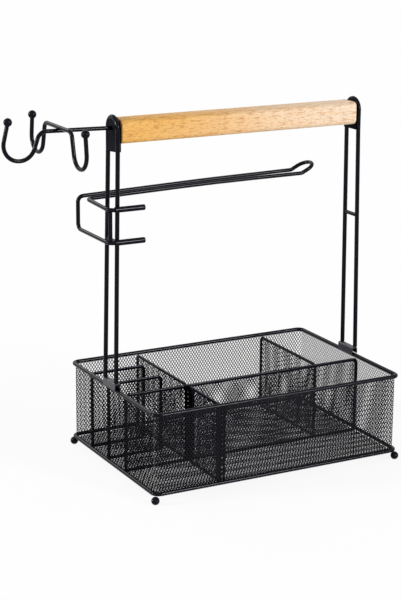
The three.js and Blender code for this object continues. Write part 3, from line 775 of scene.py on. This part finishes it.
left_end = -half_length + RIM_CLEAR
back_end = half_depth - RIM_CLEAR
hem_clear = HEM_THICKNESS / 2 + GAP
cross_start = LONG_DIVIDER_Y + hem_clear
front_end = -half_depth + RIM_CLEAR + FLANGE_THICKNESS + GAP
front_cross_end = LONG_DIVIDER_Y - hem_clear - FLANGE_THICKNESS - GAP
build_divider("long_divider", True, BASKET_LENGTH - 2 * RIM_CLEAR, left_end, LONG_DIVIDER_Y)
build_divider("left_cross", False, back_end - cross_start, LEFT_CROSS_X, cross_start)
build_divider("right_cross", False, back_end - cross_start, RIGHT_CROSS_X, cross_start)
build_divider("front_cross", False, front_cross_end - front_end, LEFT_CROSS_X, front_end, STILE_WIDTH)
for name, y in PARTITIONS.items():
    build_divider(name, True, PARTITION_LENGTH, left_end, y, 0, PARTITION_LEAN, PARTITION_HOLE_SHARE)


# Flanges of the front cross divider: strips with one row of mesh holes left in them
def build_flange(node, x, y, middle):
    rows = round(DIVIDER_HEIGHT / PITCH_UP)
    step = DIVIDER_HEIGHT / rows
    reach = FLANGE_HOLE_SHARE * PITCH_ACROSS / 2
    rise = FLANGE_HOLE_SHARE * step / 2
    columns = (0, middle - reach, middle, middle + reach, FLANGE_WIDTH)
    plan = []
    faces = []
    hole = []
    for row in range(rows):
        low = row * step
        half_way = low + step / 2
        corners = [(u, low) for u in columns]
        corners += [(0, half_way), (middle - reach, half_way), (middle, half_way - rise)]
        corners += [(middle, half_way + rise), (middle + reach, half_way)]
        corners.append((FLANGE_WIDTH, half_way))
        plan.extend((u, v, 0) for u, v in corners)
        hole.extend([(middle, half_way)] * len(corners))
        at = row * len(corners)
        up = at + len(corners)
        faces += [(at, at + 1, at + 6, at + 5), (at + 1, at + 2, at + 7, at + 6)]
        faces += [(at + 2, at + 3, at + 9, at + 7), (at + 3, at + 4, at + 10, at + 9)]
        faces += [(at + 5, at + 6, up + 1, up), (at + 6, at + 8, up + 2, up + 1)]
        faces += [(at + 8, at + 9, up + 3, up + 2), (at + 9, at + 10, up + 4, up + 3)]
    plan.extend((u, DIVIDER_HEIGHT, 0) for u in columns)
    hole.extend([(middle, DIVIDER_HEIGHT)] * len(columns))
    place = flat_place((LEFT_CROSS_X + x, y, DIVIDER_LOW), (1, 0, 0), (0, 0, 1))
    size = np.array([FLANGE_WIDTH, DIVIDER_HEIGHT])
    points, quads, uv = thickened(
        np.array(plan), np.array(faces), FLANGE_THICKNESS, place, np.array(hole), size
    )
    build("strip", node, points, quads.tolist(), WIRE_COAT, uv)


fold = HEM_THICKNESS / 2
wall_flange_y = -half_depth + RIM_CLEAR + FLANGE_THICKNESS / 2
divider_flange_y = LONG_DIVIDER_Y - hem_clear - FLANGE_THICKNESS / 2
build_flange("front_cross_wall_flange", -fold, wall_flange_y, FLANGE_HOLES_FROM_FOLD)
far_holes = FLANGE_WIDTH - FLANGE_HOLES_FROM_FOLD
build_flange("front_cross_divider_flange", fold - FLANGE_WIDTH, divider_flange_y, far_holes)

# Leg frames with their rungs, saddles and end plates
half_foot = LEG_FOOT_SPACING / 2
half_top = LEG_TOP_SPACING / 2


def leg_lean(foot, top, height):
    low = LEG_LOW + GAP
    return foot + (top - foot) * (height - low) / (PLATE_LOW - low)


def saddle_outline():
    wall = RIM_CLEAR + SADDLE_SHEET / 2
    top = SADDLE_TOP - SADDLE_SHEET / 2
    corners = [
        (wall + SADDLE_FLARE, SADDLE_TOP - SADDLE_FLARE_DROP, 0),
        (wall, top, 0, SADDLE_BEND),
        (-wall, top, 0, SADDLE_BEND),
        (-wall, -SADDLE_SKIRT, 0),
    ]
    line = bent_line(corners)
    outside = []
    within = []
    for i, here in enumerate(line):
        ahead = (line[min(i + 1, len(line) - 1)] - line[max(i - 1, 0)]).normalized()
        out = Vector((ahead.y, -ahead.x, 0)) * (SADDLE_SHEET / 2)
        outside.append(here + out)
        within.append(here - out)
    return [(p.x, p.y) for p in [*outside, *reversed(within)]]


def plate_outline(first_drop, last_drop, steps=40):
    arch = ARCH_HEIGHT - half_top
    first = ARCH_HEIGHT - first_drop
    last = ARCH_HEIGHT - last_drop
    shares = [k / PLATE_EDGE_STEPS for k in range(PLATE_EDGE_STEPS)]
    outline = [(half_top * (2 * share - 1), first + (last - first) * share) for share in shares]
    outline += [(half_top, last + (arch - last) * share) for share in shares]
    for step in range(steps + 1):
        angle = math.pi * step / steps
        outline.append((half_top * math.cos(angle), arch + half_top * math.sin(angle)))
    outline += [(-half_top, arch + (first - arch) * share) for share in shares[1:]]
    return outline


rung_end = leg_lean(half_foot, half_top, RUNG_HEIGHT) - LEG_WIRE / 2
bores = {
    # radius and height
    "left": (HOOK_WIRE / 2, ROD_HEIGHT - ROD_TILT * ROD_LEVEL_REACH),
    "right": (SCREW_HEAD / 2 + BORE_CLEAR, ROD_HEIGHT),
}
boss_low = PLATE_OUTSIDE - PLATE_SHEET / 2
for name, side in (("left", -1), ("right", 1)):
    legs = [
        (side * LEG_FOOT_X, -half_foot, LEG_LOW),
        (side * LEG_TOP_X, -half_top, PLATE_LOW),
        (side * LEG_TOP_X, -half_top, ARCH_HEIGHT, half_top),
        (side * LEG_TOP_X, half_top, ARCH_HEIGHT, half_top),
        (side * LEG_TOP_X, half_top, PLATE_LOW),
        (side * LEG_FOOT_X, half_foot, LEG_LOW),
    ]
    build_wire(f"{name}_leg_frame", legs, LEG_WIRE)
    rung_x = side * leg_lean(LEG_FOOT_X, LEG_TOP_X, RUNG_HEIGHT)
    rung = [(rung_x, -rung_end, RUNG_HEIGHT), (rung_x, rung_end, RUNG_HEIGHT)]
    build_wire(f"{name}_rung", rung, RUNG_WIRE)
    saddle_place = flat_place((side * half_length, 0, RIM_HEIGHT), (side, 0, 0), (0, 0, 1))
    saddle = slab(saddle_outline(), SADDLE_LENGTH, SHEET_EASE, saddle_place)
    build("bracket", f"{name}_saddle", *saddle, SADDLE_COAT)
    outline = plate_outline(*PLATE_DROPS[name])
    sheet_place = flat_place((side * boss_low, 0, 0), (0, side, 0), (0, 0, 1))
    sheet = slab(outline, PLATE_SHEET, SHEET_EASE, sheet_place)
    boss_place = flat_place((side * (boss_low + BOSS_FACE) / 2, 0, 0), (0, side, 0), (0, 0, 1))
    bore, bore_height = bores[name]
    boss = bored_slab(outline, bore, (0, bore_height), BOSS_FACE - boss_low, BOSS_EASE, boss_place)
    build("sheet", f"{name}_end_plate", *joined(sheet, boss), PLATE_COAT)

# Handle and its screw
handle_place = flat_place((0, 0, HANDLE_MIDDLE), (0, 1, 0), (0, 0, 1))
handle_outline = round_outline(HANDLE_DEPTH, HANDLE_HEIGHT, HANDLE_CORNER)
bar = slab(handle_outline, 2 * HANDLE_END, HANDLE_EASE, handle_place, HANDLE_EASE_STEPS)
build("bar", "wood_handle", *bar, BEECH)
screw_under = PLATE_OUTSIDE + GAP
screw_rise = screw_under + SCREW_HEAD_HEIGHT
screw_end = HANDLE_END - SCREW_GRIP
screw_profile = [
    (SCREW_TIP / 2, screw_end),
    (SCREW_SHANK / 2, screw_end + SCREW_TAPER),
    (SCREW_SHANK / 2, screw_under),
    *[(SCREW_HEAD / 2 - inset, screw_under + height) for inset, height in SCREW_DOME],
    (SCREW_SOCKET / 2, screw_rise),
    (SCREW_SOCKET / 2 - SCREW_SOCKET_TAPER, screw_rise - SCREW_SOCKET_DEPTH),
]
build_turned("turned", "handle_screw", screw_profile, (0, 0, ROD_HEIGHT), (1, 0, 0))


# Hooks with ball ends
def build_ball(node, corners):
    end = Vector(corners[-1][:3])
    axis = end - Vector(corners[-2][:3])
    radius = HOOK_BALL / 2
    neck = HOOK_WIRE / 2 + NECK_MARGIN
    mouth = -math.sqrt(radius * radius - neck * neck)
    build_turned("knob", node, ball_profile(radius, mouth, radius - SAME_POINT), end, axis)


def rod_corner(x):
    return x, 0, ROD_HEIGHT - ROD_TILT * (x + LEG_TOP_X + ROD_LEVEL_REACH)


hook_inner = -LEG_TOP_X - ROD_REACH - END_HOOK_LEAN
hook_outer = hook_inner - END_HOOK_WIDTH
rod_corners = [
    rod_corner(-HANDLE_END + ROD_GRIP),
    (*rod_corner(-LEG_TOP_X - ROD_REACH), ROD_BEND),
    (hook_inner, 0, ROD_HEIGHT - END_HOOK_DEPTH, END_HOOK_BEND),
    (hook_outer, 0, ROD_HEIGHT - END_HOOK_DEPTH, END_HOOK_BEND),
    (hook_outer + END_HOOK_TIP_LEAN, 0, ROD_HEIGHT + END_HOOK_RISE),
]
build_wire("hook_rod", rod_corners, HOOK_WIRE)
build_ball("hook_rod_ball", rod_corners)


def half_hook(side):
    x = -LEG_TOP_X - DOUBLE_HOOK_REACH
    z = ROD_HEIGHT + DOUBLE_HOOK_LIFT
    inner = DOUBLE_HOOK_BRIDGE / 2
    low_inner = inner + DOUBLE_HOOK_LEAN
    low_outer = low_inner + DOUBLE_HOOK_WIDTH
    return [
        (x, side * inner, z, BRIDGE_BEND),
        (x, side * low_inner, z - DOUBLE_HOOK_DEPTH, DOUBLE_HOOK_BEND),
        (x, side * low_outer, z - DOUBLE_HOOK_DEPTH, DOUBLE_HOOK_BEND),
        (x, side * (low_outer - DOUBLE_HOOK_TIP_LEAN), z + DOUBLE_HOOK_RISE),
    ]


front_hook = half_hook(-1)
back_hook = half_hook(1)
build_wire("double_hook", [*reversed(front_hook), *back_hook], HOOK_WIRE)
build_ball("front_hook_ball", front_hook)
build_ball("back_hook_ball", back_hook)

# Towel arm and its sockets
socket_mouth = -leg_lean(LEG_FOOT_X, LEG_TOP_X, TOWEL_HEIGHT) - SOCKET_OFFSET
lower_height = TOWEL_HEIGHT - PRONG_SPACING
prong_y = -leg_lean(half_foot, half_top, lower_height) - LEG_WIRE / 2 - GAP - SOCKET_OUTSIDE
for node, height in (("upper_socket", TOWEL_HEIGHT), ("lower_socket", lower_height)):
    socket_profile = [
        (SOCKET_BORE - SOCKET_BORE_EASE, SOCKET_LENGTH - SOCKET_END),
        (SOCKET_BORE, SOCKET_LENGTH - SOCKET_END - SOCKET_BORE_EASE),
        (SOCKET_BORE, SOCKET_LIP),
        (SOCKET_BORE + SOCKET_LIP, 0),
        (SOCKET_OUTSIDE - SOCKET_LIP, 0),
        (SOCKET_OUTSIDE, SOCKET_LIP),
        (SOCKET_OUTSIDE, SOCKET_LENGTH - SOCKET_EASE - STEADY),
        (SOCKET_OUTSIDE, SOCKET_LENGTH - SOCKET_EASE),
        (SOCKET_OUTSIDE - SOCKET_LIP, SOCKET_LENGTH - SOCKET_LIP),
        (SOCKET_OUTSIDE - SOCKET_EASE, SOCKET_LENGTH),
    ]
    build_turned("tube", node, socket_profile, (socket_mouth, prong_y, height), (1, 0, 0))

runs_x = socket_mouth - RUN_STANDOFF
far_strand = NEAR_STRAND + STRAND_SPACING
arm_end = socket_mouth + ARM_LENGTH - RUN_STANDOFF
tip_start = arm_end + TIP_SHIFT
tip_x = arm_end + TIP_REACH
bow_x = runs_x + ARM_BOW_PLACE * (tip_start - runs_x)
bow_height = TOWEL_HEIGHT + ARM_BOW_PLACE * ARM_RISE + ARM_BOW
end_height = TOWEL_HEIGHT + ARM_RISE - TIP_DROP
tip_height = TOWEL_HEIGHT + ARM_RISE + TIP_RISE
tip_corner = STRAND_SPACING / 2
arm_corners = [
    (socket_mouth + PRONG_END, prong_y, lower_height),
    (runs_x, prong_y, lower_height, ARM_BEND),
    (runs_x, far_strand, lower_height, ARM_BEND),
    (runs_x, far_strand, TOWEL_HEIGHT, ARM_BEND),
    (bow_x, far_strand, bow_height, ARM_BOW_BEND),
    (tip_start, far_strand, end_height, TIP_BEND),
    (tip_x, far_strand, tip_height, tip_corner),
    (tip_x, NEAR_STRAND, tip_height, tip_corner),
    (tip_start, NEAR_STRAND, end_height + NEAR_TIP_LIFT, TIP_BEND),
    (bow_x, NEAR_STRAND, bow_height + NEAR_BOW_LIFT, ARM_BOW_BEND),
    (runs_x, NEAR_STRAND, TOWEL_HEIGHT + NEAR_LIFT, ARM_BEND),
    (runs_x, prong_y, TOWEL_HEIGHT, ARM_BEND),
    (socket_mouth + PRONG_END, prong_y, TOWEL_HEIGHT),
]
build_wire("towel_arm_wire", arm_corners, TOWEL_WIRE)
bend_pull = ARM_BEND * (1 - math.sqrt(0.5))
tie_clear = TOWEL_WIRE / 2
tie_x = runs_x + bend_pull
tie_y = prong_y + bend_pull
tie_corners = [(tie_x, tie_y, lower_height + tie_clear), (tie_x, tie_y, TOWEL_HEIGHT - tie_clear)]
build_wire("towel_tie_bar", tie_corners, TOWEL_WIRE)

# Studio
WORLD_LIGHT = 0.4
FLOOR_SIDE = 40.0
FLOOR_PAINT = 0.95
FLOOR_WHITE = 0.9  # share of plain white in what the camera and reflections see of the floor
LAMPS = {
    # strength, width of the lamp as an angle, way to the lamp
    "left_lamp": (4.0, math.radians(12), (-0.93, 0.27, 0.22)),
    "right_lamp": (2.5, math.radians(12), (0.43, -0.86, 0.27)),
    "back_lamp": (0.4, math.radians(16), (-0.2, 0.86, 0.47)),
}
scene = bpy.context.scene


def seen_directly(tree):
    camera = tree.node("LightPath", output="Is Camera Ray")
    glossy = tree.node("LightPath", output="Is Glossy Ray")
    through = tree.node("LightPath", output="Is Transmission Ray")
    return tree.math("MAXIMUM", tree.math("MAXIMUM", camera, glossy), through)


world = bpy.data.worlds.new("studio")
world.use_nodes = True
scene.world = world
sky = NodeTree(world.node_tree)
soft = sky.node("Background", {"Color": (1, 1, 1, 1), "Strength": WORLD_LIGHT})
white = sky.node("Background", {"Color": (1, 1, 1, 1), "Strength": 1.0})
sky.node("OutputWorld", {"Surface": sky.node("MixShader", {0: seen_directly(sky), 1: soft, 2: white})})

floor_material, floor_tree = new_finish("studio_floor")
paint = floor_tree.node("BsdfDiffuse", {"Color": (FLOOR_PAINT, FLOOR_PAINT, FLOOR_PAINT, 1)})
glow = floor_tree.node("Emission", {"Color": (1, 1, 1, 1), "Strength": 1.0})
floor_mix = {0: seen_directly(floor_tree) * FLOOR_WHITE, 1: paint, 2: glow}
floor_tree.node("OutputMaterial", {"Surface": floor_tree.node("MixShader", floor_mix)})
ground_mesh = bpy.data.meshes.new("studio_floor")
reach = FLOOR_SIDE / 2
ground_corners = [(-reach, -reach, 0), (reach, -reach, 0), (reach, reach, 0), (-reach, reach, 0)]
ground_mesh.from_pydata(ground_corners, [], [(0, 1, 2, 3)])
ground_mesh.materials.append(floor_material)
ground = bpy.data.objects.new("studio_floor", ground_mesh)
scene.collection.objects.link(ground)

for name, (strength, width, way) in LAMPS.items():
    lamp_data = bpy.data.lights.new(name, "SUN")
    lamp_data.energy = strength
    lamp_data.angle = width
    lamp = bpy.data.objects.new(name, lamp_data)
    lamp.rotation_euler = Vector((0, 0, 1)).rotation_difference(Vector(way)).to_euler()
    scene.collection.objects.link(lamp)

# Camera
level = math.cos(CAMERA_ELEVATION)
ahead_x = math.sin(CAMERA_AZIMUTH) * level
ahead_y = math.cos(CAMERA_AZIMUTH) * level
forward = Vector((ahead_x, ahead_y, -math.sin(CAMERA_ELEVATION)))
right = forward.cross(Vector((0, 0, 1))).normalized()
up = right.cross(forward)
tilted_right = right * math.cos(CAMERA_ROLL) + up * math.sin(CAMERA_ROLL)
tilted_up = up * math.cos(CAMERA_ROLL) - right * math.sin(CAMERA_ROLL)
camera_data = bpy.data.cameras.new("camera")
camera_data.lens = CAMERA_LENS
camera = bpy.data.objects.new("camera", camera_data)
turn = Matrix((tilted_right, tilted_up, -forward)).transposed()
place = to_metres([(CAMERA_X, CAMERA_Y, CAMERA_Z)])[0]
camera.matrix_world = Matrix.Translation(Vector(place)) @ turn.to_4x4()
scene.collection.objects.link(camera)
scene.camera = camera
scene.view_settings.view_transform = "Standard"
